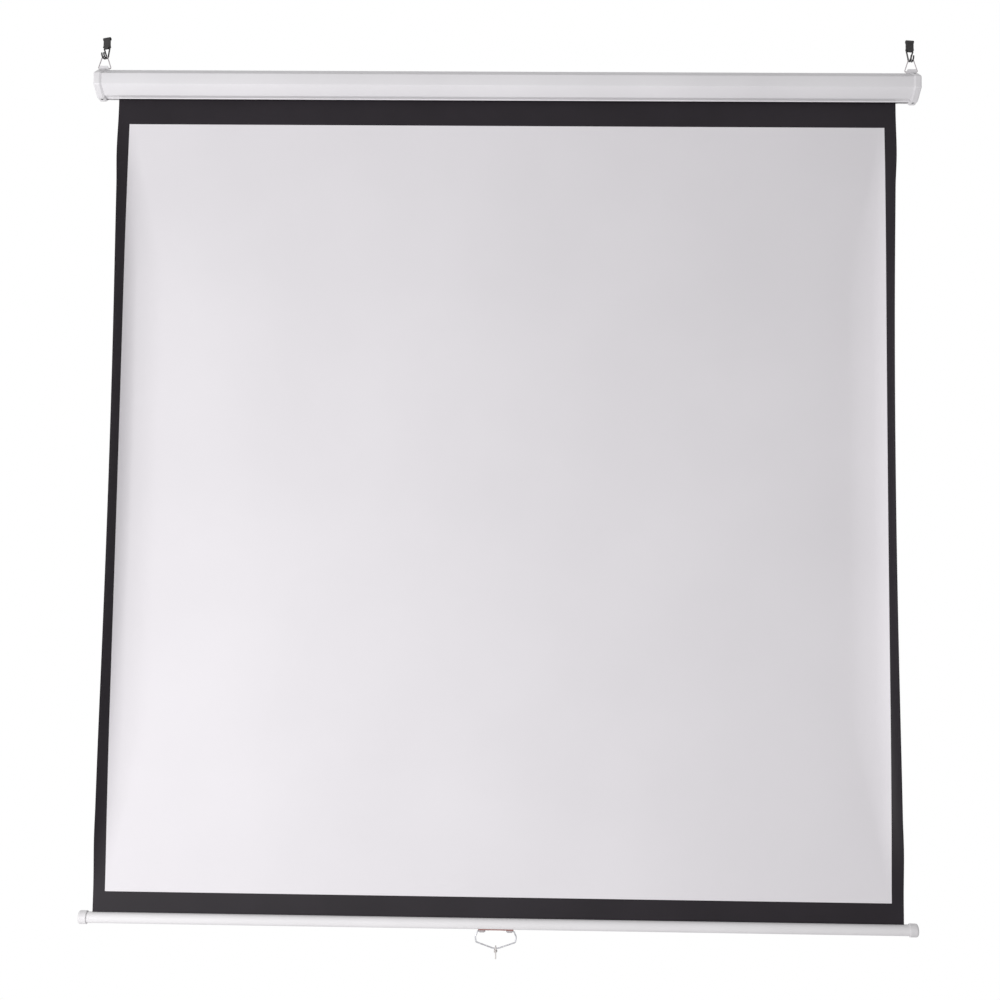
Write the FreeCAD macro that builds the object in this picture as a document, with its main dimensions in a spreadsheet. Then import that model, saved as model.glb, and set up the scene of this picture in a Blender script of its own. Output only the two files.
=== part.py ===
import FreeCAD, Part
import math
import os
import Sketcher

# Manual pull-down projection screen: a folded, faceted case with moulded end caps hangs by two wire
# rings from two strap hooks. A spring roller inside the case winds the bordered fabric, which is kept
# taut by a weight bar with a wire pull handle.
# Millimetres. X runs along the case, Y back towards the wall and Z up. The origin lies midway along
# the case, on the wall plane behind the end caps, at mid height of the case's upright faces.

Vector = FreeCAD.Vector
ALONG_X = Vector(1, 0, 0)

SIZES = [
    ("case_margin", 21.5, "case past each end of the roller"),
    ("case_depth", 80, "front face to back face"),
    ("front_height", 26, "upright front and back faces"),
    ("roof_rise", 21, "upright faces up to the top"),
    ("roof_flat", 12, "flat along the top"),
    ("floor_drop", 18, "upright faces down to the underside"),
    ("floor_flat", 30, "flat underside that holds the slot"),
    ("case_wall", 1, "sheet thickness of the case"),
    ("bend_radius", 3, "outer radius of the case's folds"),
    ("slot_width", 8, "slot that the fabric leaves by"),
    ("fabric_setback", 6, "slot centre behind the case's middle plane"),
    ("lip_drop", 2, "hemmed lip along each slot edge"),
    ("lip_thickness", 1.5, "thickness of that lip"),
    ("cap_length", 18, "end cap along the case"),
    ("cap_plate", 3, "end wall of the cap"),
    ("cap_skirt", 2.5, "rim of the cap round the case"),
    ("cap_fit", 0.15, "clearance between case and cap"),
    ("cap_sole", 3, "extra thickness under the case"),
    ("cap_round", 4, "rounded outer edge of the cap"),
    ("cap_bevel", 2, "sloped rim of the cap, down to the case"),
    ("cap_bevel_length", 4, "sloped rim along the case"),
    ("lug_length", 25, "hanging lug, at its foot"),
    ("lug_top", 21, "hanging lug, at its top"),
    ("lug_thickness", 10, "hanging lug, front to back"),
    ("lug_height", 10.5, "lug above the case's top"),
    ("pin_height", 5.5, "ring axis above the case's top"),
    ("running_gap", 0.05, "radial clearance of turning pins"),
    ("seat_gap", 0.05, "radial clearance of fixed seats"),
    ("screw_inset", 7, "cap screws from the case's end"),
    ("screw_shank", 3.5, "screw shank diameter"),
    ("screw_head", 6, "screw head diameter"),
    ("screw_head_height", 1.1, "screw head height"),
    ("screw_length", 6, "screw below its head"),
    ("screw_recess", 1.2, "depth of the screw recess"),
    ("screw_clear", 0.15, "radial clearance round a screw"),
    ("ring_wire", 2.4, "wire of the hanging ring"),
    ("ring_gap", 1.6, "ring leg clear of the lug"),
    ("ring_top", 12, "flat top of the ring"),
    ("ring_height", 29, "ring axis up to its top wire"),
    ("ring_grip", 3, "ring ends from the lug's middle"),
    ("ring_bend", 3, "upper bends of the ring"),
    ("ring_foot_bend", 1.9, "lower bends of the ring"),
    ("hook_wire", 3.6, "coated wire of the hook"),
    ("hook_radius", 8.5, "bend of the hook, at its centre line"),
    ("hook_pair", 5.9, "spacing of the hook's two wires"),
    ("hook_tip", 2.4, "prong above the middle of its bend"),
    ("hook_shank", 1, "upright run of the shank above its bend"),
    ("hook_height", 28, "hook bend up to its cross wire"),
    ("hook_cross", 17, "cross wire between its two bends"),
    ("hook_offset", 6, "cross wire behind the bend's middle"),
    ("hook_neck", 6, "gentle bend of the hook's shank"),
    ("hook_corner", 2.2, "bends beside the cross wire"),
    ("left_hook_yaw", 20, "left hook turned about the vertical"),
    ("right_hook_yaw", -8, "right hook turned about the vertical"),
    ("left_hook_rest", 1, "left hook's bend below the ring wire"),
    ("right_hook_rest", 0.5, "right hook's bend below the ring wire"),
    ("strap_width", 19, "webbing strap"),
    ("strap_thickness", 1.6, "one layer of webbing"),
    ("strap_foot", 10.6, "strap fold round the cross wire"),
    ("strap_shoulder", 6, "cross wire up to where the layers meet"),
    ("strap_hem", 0.4, "full width below the cross wire's middle"),
    ("strap_fit", 0.15, "strap off the cross wire"),
    ("strap_height", 20.9, "cross wire up to the strap's top loop"),
    ("strap_loop", 5, "hanging loop at the strap's top"),
    ("roller_margin", 23, "roller past each edge of the fabric"),
    ("roller_diameter", 32, "roller tube, outside"),
    ("roller_wall", 1.2, "roller tube wall"),
    ("roller_lift", 2, "roller axis above the origin"),
    ("plug_insert", 20, "roller plug inside the tube"),
    ("plug_flange", 4, "roller plug outside the tube"),
    ("journal", 8, "roller pin and spring spindle diameter"),
    ("journal_length", 34, "roller pin"),
    ("bracket_width", 40, "roller bracket, front to back"),
    ("bracket_height", 28, "roller bracket, upright"),
    ("bracket_thickness", 2, "roller bracket plate"),
    ("bracket_screw_pitch", 30, "screws of each roller bracket"),
    ("bracket_screw_depth", 2.2, "screw into the end cap"),
    ("bush_wall", 2, "bush round the roller pin"),
    ("bush_flange", 2, "flange of that bush"),
    ("tang_width", 6, "flat tang of the spindle"),
    ("tang_thickness", 4, "thickness of that tang"),
    ("spindle_tail", 2, "spindle past the spring anchor"),
    ("spring_wire", 2, "drive spring wire"),
    ("spring_radius", 8, "drive spring coils, to the wire's centre"),
    ("spring_turns", 9, "coils of the drive spring"),
    ("spring_pitch", 19.5, "spacing of those coils"),
    ("collar_inset", 60, "spring collar from the roller's end"),
    ("collar_length", 20, "spring collar and anchor hubs"),
    ("collar_flange", 5, "flanges that stop the spring"),
    ("spring_seat_gap", 0.2, "coil inside to its hub"),
    ("ratchet_radius", 9, "fixed lock wheel"),
    ("ratchet_width", 4, "fixed lock wheel along its axis"),
    ("notch_width", 6, "notch of the lock wheel"),
    ("notch_depth", 3.5, "depth of that notch"),
    ("side_gap", 0.5, "lock parts from the roller plug"),
    ("pawl_reach", 9.5, "pawl pivot behind the roller axis"),
    ("pawl_drop", 12, "pawl pivot below the roller axis"),
    ("pawl_height", 3.4, "pawl lever"),
    ("pawl_tooth", 3, "pawl tooth along the lever"),
    ("pawl_clear", 0.6, "tooth below the lock wheel at rest"),
    ("pawl_pin", 3, "pawl pin diameter"),
    ("pawl_hub", 3, "pawl hub radius"),
    ("fabric_thickness", 0.4, "coated screen fabric"),
    ("wound_thickness", 0.8, "turns left on the roller"),
    ("wound_gap", 0.2, "hanging fabric off the wound turns"),
    ("image_width", 1780, "white image area"),
    ("image_height", 1785, "white image area"),
    ("side_border", 27, "black border at each side"),
    ("top_border", 62, "black drop below the case"),
    ("bottom_border", 46, "black border above the bar"),
    ("curl_width", 60, "strip along each edge that curls forward"),
    ("curl_lead", 60, "strip beside it that leads gently into the curl"),
    ("curl_share", 0.25, "part of the turn that the gentle strip takes"),
    ("curl_angle", 78, "turn of the curled edge at mid height, degrees"),
    ("curl_start", 30, "flat part of the image below the black drop"),
    ("bar_margin", 25.5, "bar past each edge of the fabric"),
    ("bar_diameter", 25, "weight bar tube, outside"),
    ("bar_wall", 1.2, "weight bar tube wall"),
    ("bar_slot", 3, "slot along the top of the bar"),
    ("bar_cap_diameter", 30, "end cap of the bar"),
    ("bar_cap_length", 19, "end cap of the bar"),
    ("bar_cap_end", 5, "end wall of that cap"),
    ("bar_cap_round", 5, "rounded end of that cap"),
    ("hem_rod", 8, "rod in the fabric's hem"),
    ("hem_gap", 0.1, "hem below the bar's inside"),
    ("strip_length", 80, "backing strip of the pull handle"),
    ("strip_width", 10, "backing strip, front to back"),
    ("strip_thickness", 1.2, "backing strip under the bar"),
    ("rivet_pitch", 36, "rivets of that strip"),
    ("rivet_diameter", 4, "rivet shank"),
    ("rivet_head", 6, "rivet head"),
    ("rivet_head_height", 1.2, "rivet head"),
    ("rivet_length", 5, "rivet through strip and bar"),
    ("clip_pitch", 63, "clips that carry the handle"),
    ("clip_length", 11, "clip along the bar"),
    ("clip_wall", 1.4, "clip round the handle wire"),
    ("clip_neck", 5, "flat seat of the clip under the strip"),
    ("handle_wire", 3.2, "pull handle wire"),
    ("handle_grip", 8, "handle end past the clip's middle"),
    ("handle_shoulder", 41, "handle's top corner from its middle"),
    ("handle_half", 46.2, "widest point of the handle from its middle"),
    ("handle_waist", 10.9, "widest point below the pivot"),
    ("handle_heel", 44.5, "lower corner from the middle"),
    ("heel_drop", 23.9, "lower corner below the pivot"),
    ("handle_drop", 37.2, "bottom of the handle below the pivot"),
    ("handle_flat", 12, "flat run at the bottom of the handle"),
    ("cord_diameter", 3, "pull cord"),
    ("cord_gap", 0.3, "cord off the handle wire"),
    ("cord_tail", 25, "cord end below the handle"),
    ("knot_drop", 6.2, "knot below the handle wire"),
    ("knot_width", 9, "knot across"),
    ("knot_depth", 12.4, "knot front to back"),
    ("knot_height", 8.4, "knot top to bottom"),
]

doc = FreeCAD.newDocument("projection_screen")
sheet = doc.addObject("Spreadsheet::Sheet", "dims")
for row, (alias, value, note) in enumerate(SIZES, start=1):
    sheet.set(f"A{row}", alias)
    sheet.set(f"B{row}", str(value))
    sheet.set(f"C{row}", note)
    sheet.setAlias(f"B{row}", alias)
doc.recompute()

# Places that several pieces share, as expressions on the sheet
FABRIC_WIDTH = "(dims.image_width + 2 * dims.side_border)"
ROLLER_LENGTH = f"({FABRIC_WIDTH} + 2 * dims.roller_margin)"
CASE_LENGTH = f"({ROLLER_LENGTH} + 2 * dims.case_margin)"
BAR_LENGTH = f"({FABRIC_WIDTH} + 2 * dims.bar_margin)"
MID_Y = "(-dims.cap_skirt - dims.cap_fit - dims.case_depth / 2)"
FABRIC_Y = f"({MID_Y} + dims.fabric_setback)"
ROOF_Z = "(dims.front_height / 2 + dims.roof_rise)"
FLOOR_Z = "(-dims.front_height / 2 - dims.floor_drop)"
CASE_END = f"({CASE_LENGTH} / 2)"
CAP_FACE = f"({CASE_END} + dims.cap_plate)"
CAP_RIM = f"({CAP_FACE} - dims.cap_length)"
CAP_MARGIN = "(dims.cap_fit + dims.cap_skirt)"
PIN_Z = f"({ROOF_Z} + dims.pin_height)"
RING_TOP_Z = f"({PIN_Z} + dims.ring_height)"
LUG_X = f"({CAP_FACE} - dims.lug_length / 2)"
ROLLER_END = f"({ROLLER_LENGTH} / 2)"
PLUG_FACE = f"({ROLLER_END} + dims.plug_flange)"
TUBE_BORE = "(dims.roller_diameter / 2 - dims.roller_wall)"
WOUND_RADIUS = "(dims.roller_diameter / 2 + dims.seat_gap + dims.wound_thickness)"
ROLLER_Y = f"({FABRIC_Y} - {WOUND_RADIUS} - dims.wound_gap - dims.fabric_thickness / 2)"
ROLLER_Z = "dims.roller_lift"
BRACKET_FACE = f"({CASE_END} - dims.bracket_thickness)"
BAR_TOP = f"({FLOOR_Z} - dims.top_border - dims.image_height - dims.bottom_border)"
BAR_Z = f"({BAR_TOP} - dims.bar_diameter / 2)"
BAR_FACE = f"({BAR_LENGTH} / 2 + dims.bar_cap_end)"
HEM_RADIUS = "(dims.hem_rod / 2 + dims.seat_gap + dims.fabric_thickness)"
HEM_Z = f"({BAR_TOP} - dims.bar_wall - dims.hem_gap - {HEM_RADIUS})"
STRIP_FOOT = f"({BAR_TOP} - dims.bar_diameter - dims.strip_thickness)"
CLIP_RADIUS = "(dims.handle_wire / 2 + dims.running_gap + dims.clip_wall)"
HANDLE_Z = f"({STRIP_FOOT} - dims.seat_gap - {CLIP_RADIUS})"
HANDLE_FOOT = f"({HANDLE_Z} - dims.handle_drop)"
SPRING_START = f"({ROLLER_END} - dims.collar_inset - dims.collar_flange - dims.spring_seat_gap)"
SPRING_SPAN = "(dims.spring_turns * dims.spring_pitch + dims.spring_wire + 2 * dims.spring_seat_gap)"
ANCHOR_FACE = f"({SPRING_START} - {SPRING_SPAN})"
ANCHOR_BACK = f"({ANCHOR_FACE} - dims.collar_flange)"
HUB_RADIUS = "(dims.spring_radius - dims.spring_wire / 2 - dims.spring_seat_gap)"
LOCK_FACE = f"({PLUG_FACE} + dims.side_gap)"

# Slopes of the case: run across, slant along, and how far a corner moves when the outline grows by 1
ROOF_RUN = "((dims.case_depth - dims.roof_flat) / 2)"
ROOF_SLANT = f"(sqrt({ROOF_RUN} ^ 2 + dims.roof_rise ^ 2))"
ROOF_SLOPE = f"(atan(dims.roof_rise / {ROOF_RUN}))"
FLOOR_RUN = "((dims.case_depth - dims.floor_flat) / 2)"
FLOOR_SLANT = f"(sqrt({FLOOR_RUN} ^ 2 + dims.floor_drop ^ 2))"

nodes = {}


def val(expression):
    return float(sheet.evalExpression(expression))


def keep(label, item):
    item.Label = label
    nodes[label] = item
    return item


# Parametric building blocks
def new_body(label, x=None, y=None, z=None):
    body = doc.addObject("PartDesign::Body", label)
    for axis, expression in (("x", x), ("y", y), ("z", z)):
        if expression:
            body.setExpression(f"Placement.Base.{axis}", expression)
    return keep(label, body)


def new_sketch(body, name, role="YZ_Plane"):
    plane = next(item for item in body.Origin.OriginFeatures if item.Role == role)
    sketch = body.newObject("Sketcher::SketchObject", name)
    sketch.AttachmentSupport = [(plane, "")]
    sketch.MapMode = "FlatFace"
    return sketch


def tilted_sketch(body, name, place, turn):
    sketch = new_sketch(body, name, "XY_Plane")
    sketch.AttachmentOffset = FreeCAD.Placement(Vector(0, 0, 0), FreeCAD.Rotation(ALONG_X, 1))
    for axis, expression in zip("xyz", place):
        sketch.setExpression(f"AttachmentOffset.Base.{axis}", expression)
    sketch.setExpression("AttachmentOffset.Rotation.Angle", turn)
    return sketch


def pin_point(sketch, item, point, place):
    for kind, expression in zip(("DistanceX", "DistanceY"), place):
        index = sketch.addConstraint(Sketcher.Constraint(kind, -1, 1, item, point, val(expression)))
        sketch.setExpression(f"Constraints[{index}]", expression)


def add_polygon(sketch, points):
    first = sketch.GeometryCount
    count = len(points)
    corners = [Vector(val(u), val(v), 0) for u, v in points]
    for i in range(count):
        sketch.addGeometry(Part.LineSegment(corners[i], corners[(i + 1) % count]), False)
    for i in range(count):
        after = first + (i + 1) % count
        sketch.addConstraint(Sketcher.Constraint("Coincident", first + i, 2, after, 1))
    for i, place in enumerate(points):
        pin_point(sketch, first + i, 1, place)


def add_box(sketch, left, right, low, high):
    add_polygon(sketch, [(left, low), (right, low), (right, high), (left, high)])


def add_circle(sketch, u, v, radius):
    circle = Part.Circle(Vector(val(u), val(v), 0), Vector(0, 0, 1), val(radius))
    item = sketch.addGeometry(circle, False)
    pin_point(sketch, item, 3, (u, v))
    index = sketch.addConstraint(Sketcher.Constraint("Radius", item, val(radius)))
    sketch.setExpression(f"Constraints[{index}]", radius)


def extrude(body, sketch, length, kind="Pad", side="One side", reverse=False):
    feature = body.newObject(f"PartDesign::{kind}", f"{sketch.Name}_{kind.lower()}")
    feature.Profile = sketch
    feature.SideType = side
    feature.Reversed = reverse
    feature.setExpression("Length", length)
    doc.recompute()
    return feature


def cut_through(body, sketch, length):
    before = body.Shape.Volume
    extrude(body, sketch, length, "Pocket", "Symmetric")
    check_cut(body, before)


def cut_blind(body, sketch, depth, reverse=False):
    before = body.Shape.Volume
    extrude(body, sketch, depth, "Pocket", "One side", reverse)
    check_cut(body, before)


def check_cut(body, before):
    if not body.Shape.Volume < before:
        raise RuntimeError(f"a cut in {body.Label} removes nothing")


def dress(body, kind, chosen, radius):
    base = body.Tip
    feature = body.newObject(f"PartDesign::{kind}", f"{body.Name}_{kind.lower()}")
    feature.Base = (base, chosen)
    feature.setExpression("Value" if kind == "Thickness" else "Radius", radius)
    return feature


def edge_names(shape, wanted):
    return [f"Edge{i}" for i, edge in enumerate(shape.Edges, start=1) if wanted(edge)]


def face_names(shape, wanted):
    return [f"Face{i}" for i, face in enumerate(shape.Faces, start=1) if wanted(face)]


def near(value, expression):
    return abs(value - val(expression)) < 1e-4


def turned(label, outline, y, z):
    # A piece of revolution about X, from its half section in (x, radius)
    body = new_body(label, y=y, z=z)
    sketch = new_sketch(body, f"{label}_section", "XZ_Plane")
    add_polygon(sketch, outline)
    feature = body.newObject("PartDesign::Revolution", f"{label}_turned")
    feature.Profile = sketch
    feature.ReferenceAxis = (sketch, ["H_Axis"])
    feature.Angle = 360
    doc.recompute()
    return body


def ring_section(start, end, inner, outer):
    return [(start, inner), (end, inner), (end, outer), (start, outer)]


# Bent wire: straight runs joined by tangent arcs
def rounded_path(points, bends):
    edges = []
    start = points[0]
    for before, corner, after, bend in zip(points, points[1:], points[2:], bends):
        arriving = (corner - before).normalize()
        leaving = (after - corner).normalize()
        turn = arriving.getAngle(leaving)
        reach = bend * math.tan(turn / 2)
        first = corner - arriving * reach
        last = corner + leaving * reach
        inward = (leaving - arriving).normalize()
        middle = corner + inward * (bend / math.cos(turn / 2) - bend)
        if start.distanceToPoint(first) > 1e-6:
            edges.append(Part.LineSegment(start, first).toShape())
        edges.append(Part.Arc(first, middle, last).toShape())
        start = last
    edges.append(Part.LineSegment(start, points[-1]).toShape())
    return Part.Wire(edges)


def bent_rod(label, points, bends, diameter):
    path = rounded_path(points, bends)
    section = Part.Wire(Part.Circle(points[0], points[1] - points[0], diameter / 2).toShape())
    solid = path.makePipeShell([section], True, False)
    expected = math.pi * diameter ** 2 / 4 * path.Length
    if abs(solid.Volume - expected) > 0.01 * expected:
        raise RuntimeError(f"{label} has lost volume along its bends")
    item = doc.addObject("Part::Feature", label)
    item.Shape = solid
    return keep(label, item)


def solid_group(label, solids):
    item = doc.addObject("Part::Feature", label)
    item.Shape = Part.makeCompound(solids) if len(solids) > 1 else solids[0]
    return keep(label, item)


def screw_solid(head, head_height, shank, length):
    # Head face at the origin, shank pointing down
    top = Part.makeCylinder(head / 2, head_height, Vector(0, 0, -head_height))
    stem = Part.makeCylinder(shank / 2, length + head_height, Vector(0, 0, -length - head_height))
    return top.fuse(stem).removeSplitter()


def placed(solid, place, turn):
    copy = solid.copy()
    copy.Placement = FreeCAD.Placement(place, turn)
    return copy


# Housing
def housing_outline(margin="0", sole="0"):
    half = f"(dims.case_depth / 2 + {margin})"
    upper = f"(dims.front_height / 2 + {margin} * ({ROOF_SLANT} - dims.roof_rise) / {ROOF_RUN})"
    lower = f"(dims.front_height / 2 + {margin} * ({FLOOR_SLANT} - dims.floor_drop) / {FLOOR_RUN})"
    roof = f"(dims.roof_flat / 2 + {margin} * ({ROOF_SLANT} - {ROOF_RUN}) / dims.roof_rise)"
    floor_grown = f"{margin} * ({FLOOR_SLANT} - {FLOOR_RUN}) / dims.floor_drop"
    floor = f"(dims.floor_flat / 2 + {floor_grown} - {sole} * {FLOOR_RUN} / dims.floor_drop)"
    top = f"({ROOF_Z} + {margin})"
    bottom = f"({FLOOR_Z} - {margin} - {sole})"
    front = [(half, f"-{lower}"), (floor, bottom)]
    back = [(floor, bottom), (half, f"-{lower}"), (half, upper), (roof, top)]
    head = [(roof, top), (half, upper)]
    signs = [("-", front), ("+", back), ("-", head)]
    return [(f"({MID_Y} {sign} {y})", z) for sign, points in signs for y, z in points]


def screw_seats(margin, sole):
    # Roof slope and underside, as (y, z, turn about X) of an outward facing plane
    middle_y = f"({MID_Y} - (dims.case_depth + dims.roof_flat) / 4)"
    middle_z = "(dims.front_height / 2 + dims.roof_rise / 2)"
    roof_y = f"({middle_y} - {margin} * dims.roof_rise / {ROOF_SLANT})"
    roof_z = f"({middle_z} + {margin} * {ROOF_RUN} / {ROOF_SLANT})"
    floor_y = f"({MID_Y} - dims.screw_head / 2 - dims.screw_clear)"
    floor_z = f"({FLOOR_Z} - {margin} - {sole})"
    return [(roof_y, roof_z, ROOF_SLOPE), (floor_y, floor_z, "180 deg")]


SCREW_X = f"({CASE_END} - dims.screw_inset)"
SCREW_HOLE = "(dims.screw_shank / 2 + dims.screw_clear)"


def make_case():
    body = new_body("case_shell")
    outline = new_sketch(body, "case_outline")
    add_polygon(outline, housing_outline())
    extrude(body, outline, CASE_LENGTH, side="Symmetric")
    folds = edge_names(body.Shape, lambda edge: near(edge.Length, CASE_LENGTH))
    dress(body, "Fillet", folds, "dims.bend_radius")
    doc.recompute()
    ends = face_names(body.Shape, lambda face: near(abs(face.CenterOfMass.x), CASE_END))
    hollow = dress(body, "Thickness", ends, "dims.case_wall")
    hollow.Reversed = True
    hollow.Join = "Intersection"
    doc.recompute()
    front = f"({FABRIC_Y} - dims.slot_width / 2)"
    back = f"({FABRIC_Y} + dims.slot_width / 2)"
    slot = new_sketch(body, "case_slot")
    add_box(slot, front, back, f"({FLOOR_Z} - dims.case_wall)", f"({FLOOR_Z} + 2 * dims.case_wall)")
    cut_through(body, slot, f"(2 * {CASE_LENGTH})")
    lips = new_sketch(body, "slot_lips")
    low = f"({FLOOR_Z} - dims.lip_drop)"
    high = f"({FLOOR_Z} + dims.case_wall / 2)"
    add_box(lips, f"({front} - dims.lip_thickness)", front, low, high)
    add_box(lips, back, f"({back} + dims.lip_thickness)", low, high)
    extrude(body, lips, f"(2 * {CAP_RIM} - 2 * dims.cap_fit)", side="Symmetric")
    for name, (y, z, turn) in zip(("case_roof_holes", "case_floor_holes"), screw_seats("0", "0")):
        holes = tilted_sketch(body, name, ("0", y, z), turn)
        for sign in ("", "-"):
            add_circle(holes, f"{sign}{SCREW_X}", "0", SCREW_HOLE)
        cut_blind(body, holes, "(2 * dims.case_wall)")


def bevel_rim(body):
    rim = edge_names(body.Shape, lambda edge: near(abs(edge.CenterOfMass.x), CAP_RIM))
    base = body.Tip
    bevel = body.newObject("PartDesign::Chamfer", f"{body.Name}_rim_bevel")
    bevel.Base = (base, rim)
    bevel.ChamferType = "Two distances"
    bevel.setExpression("Size", "dims.cap_bevel_length")
    bevel.setExpression("Size2", "dims.cap_bevel")
    doc.recompute()


def make_end_cap(side, sign):
    body = new_body(f"{side}_end_cap")
    reverse = sign < 0
    mark = "-" if reverse else ""
    shell = new_sketch(body, f"{side}_cap_outline")
    add_polygon(shell, housing_outline(CAP_MARGIN, "dims.cap_sole"))
    shell.setExpression("AttachmentOffset.Base.z", f"{mark}{CAP_RIM}")
    extrude(body, shell, "dims.cap_length", reverse=reverse)
    corners = edge_names(body.Shape, lambda edge: near(edge.Length, "dims.cap_length"))
    dress(body, "Fillet", corners, f"(dims.bend_radius + {CAP_MARGIN})")
    doc.recompute()
    rim = edge_names(body.Shape, lambda edge: near(abs(edge.CenterOfMass.x), CAP_FACE))
    dress(body, "Fillet", rim, "dims.cap_round")
    doc.recompute()
    bevel_rim(body)
    inside = new_sketch(body, f"{side}_cap_inside")
    add_polygon(inside, housing_outline("dims.cap_fit"))
    inside.setExpression("AttachmentOffset.Base.z", f"{mark}{CAP_RIM}")
    cut_blind(body, inside, "(dims.cap_length - dims.cap_plate)", reverse=not reverse)
    lug = new_sketch(body, f"{side}_lug", "XZ_Plane")
    lug.setExpression("AttachmentOffset.Base.z", f"-{MID_Y}")
    outer = f"{mark}({CAP_FACE} - dims.cap_round / 2)"
    foot = f"({ROOF_Z} + dims.cap_fit)"
    head = f"({ROOF_Z} + dims.lug_height)"
    inner_foot = f"{mark}({CAP_FACE} - dims.lug_length)"
    inner_head = f"{mark}({CAP_FACE} - dims.lug_top)"
    add_polygon(lug, [(outer, foot), (inner_foot, foot), (inner_head, head), (outer, head)])
    extrude(body, lug, "dims.lug_thickness", side="Symmetric")
    bore = new_sketch(body, f"{side}_lug_bore")
    add_circle(bore, MID_Y, PIN_Z, "(dims.ring_wire / 2 + dims.running_gap)")
    cut_through(body, bore, f"(2 * {CASE_LENGTH})")
    seats = screw_seats(CAP_MARGIN, "dims.cap_sole")
    for name, (y, z, turn) in zip(("roof", "floor"), seats):
        for part, radius, depth in (
            ("recess", "(dims.screw_head / 2 + dims.screw_clear)", "dims.screw_recess"),
            ("hole", SCREW_HOLE, f"({CAP_MARGIN} + dims.cap_sole + dims.case_wall)"),
        ):
            hole = tilted_sketch(body, f"{side}_{name}_{part}", ("0", y, z), turn)
            add_circle(hole, f"{mark}{SCREW_X}", "0", radius)
            cut_blind(body, hole, depth)
    pilots = new_sketch(body, f"{side}_bracket_pilots")
    pilots.setExpression("AttachmentOffset.Base.z", f"{mark}{CASE_END}")
    for way in ("+", "-"):
        across = f"({ROLLER_Y} {way} dims.bracket_screw_pitch / 2)"
        add_circle(pilots, across, ROLLER_Z, SCREW_HOLE)
    cut_blind(body, pilots, "(dims.bracket_screw_depth + dims.screw_clear)", reverse=not reverse)


def make_bracket(label, sign):
    body = new_body(label)
    mark = "-" if sign < 0 else ""
    plate = new_sketch(body, f"{label}_plate")
    plate.setExpression("AttachmentOffset.Base.z", f"{mark}{BRACKET_FACE}")
    left = f"({ROLLER_Y} - dims.bracket_width / 2)"
    right = f"({ROLLER_Y} + dims.bracket_width / 2)"
    low = f"({ROLLER_Z} - dims.bracket_height / 2)"
    high = f"({ROLLER_Z} + dims.bracket_height / 2)"
    add_box(plate, left, right, low, high)
    for way in ("+", "-"):
        across = f"({ROLLER_Y} {way} dims.bracket_screw_pitch / 2)"
        add_circle(plate, across, ROLLER_Z, SCREW_HOLE)
    if sign < 0:
        bush = "(dims.journal / 2 + dims.running_gap + dims.bush_wall + dims.seat_gap)"
        add_circle(plate, ROLLER_Y, ROLLER_Z, bush)
    else:
        half_width = "(dims.tang_width / 2 + dims.seat_gap)"
        half_thick = "(dims.tang_thickness / 2 + dims.seat_gap)"
        slot = [f"({ROLLER_Y} {way} {half_thick})" for way in ("-", "+")]
        rise = [f"({ROLLER_Z} {way} {half_width})" for way in ("-", "+")]
        add_box(plate, *slot, *rise)
    extrude(body, plate, "dims.bracket_thickness", reverse=sign < 0)


def make_screws():
    screw = [val(f"dims.{name}") for name in ("screw_head", "screw_head_height", "screw_shank")]
    solid = screw_solid(*screw, val("dims.screw_length"))
    sink = val("dims.screw_recess")
    cap_screws = []
    for sign in (1, -1):
        for y, z, turn in screw_seats(CAP_MARGIN, "dims.cap_sole"):
            rotation = FreeCAD.Rotation(ALONG_X, val(f"({turn}) / 1 deg"))
            seat = Vector(sign * val(SCREW_X), val(y), val(z))
            outward = rotation.multVec(Vector(0, 0, 1))
            lift = val("dims.screw_head_height") - sink
            cap_screws.append(placed(solid, seat + outward * lift, rotation))
    solid_group("cap_screws", cap_screws)
    length = val("dims.bracket_thickness + dims.bracket_screw_depth")
    solid = screw_solid(*screw, length)
    bracket_screws = []
    for sign in (1, -1):
        rotation = FreeCAD.Rotation(Vector(0, 1, 0), -90 * sign)
        for way in (1, -1):
            across = val(ROLLER_Y) + way * val("dims.bracket_screw_pitch") / 2
            face = val(BRACKET_FACE) - val("dims.screw_head_height")
            bracket_screws.append(placed(solid, Vector(sign * face, across, val(ROLLER_Z)), rotation))
    solid_group("bracket_screws", bracket_screws)


def prism(points, width):
    # A (y, z) outline drawn out along X, centred on X = 0
    corners = [Vector(-width / 2, y, z) for y, z in points]
    return Part.Face(Part.makePolygon(corners + corners[:1])).extrude(ALONG_X * width)


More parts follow.
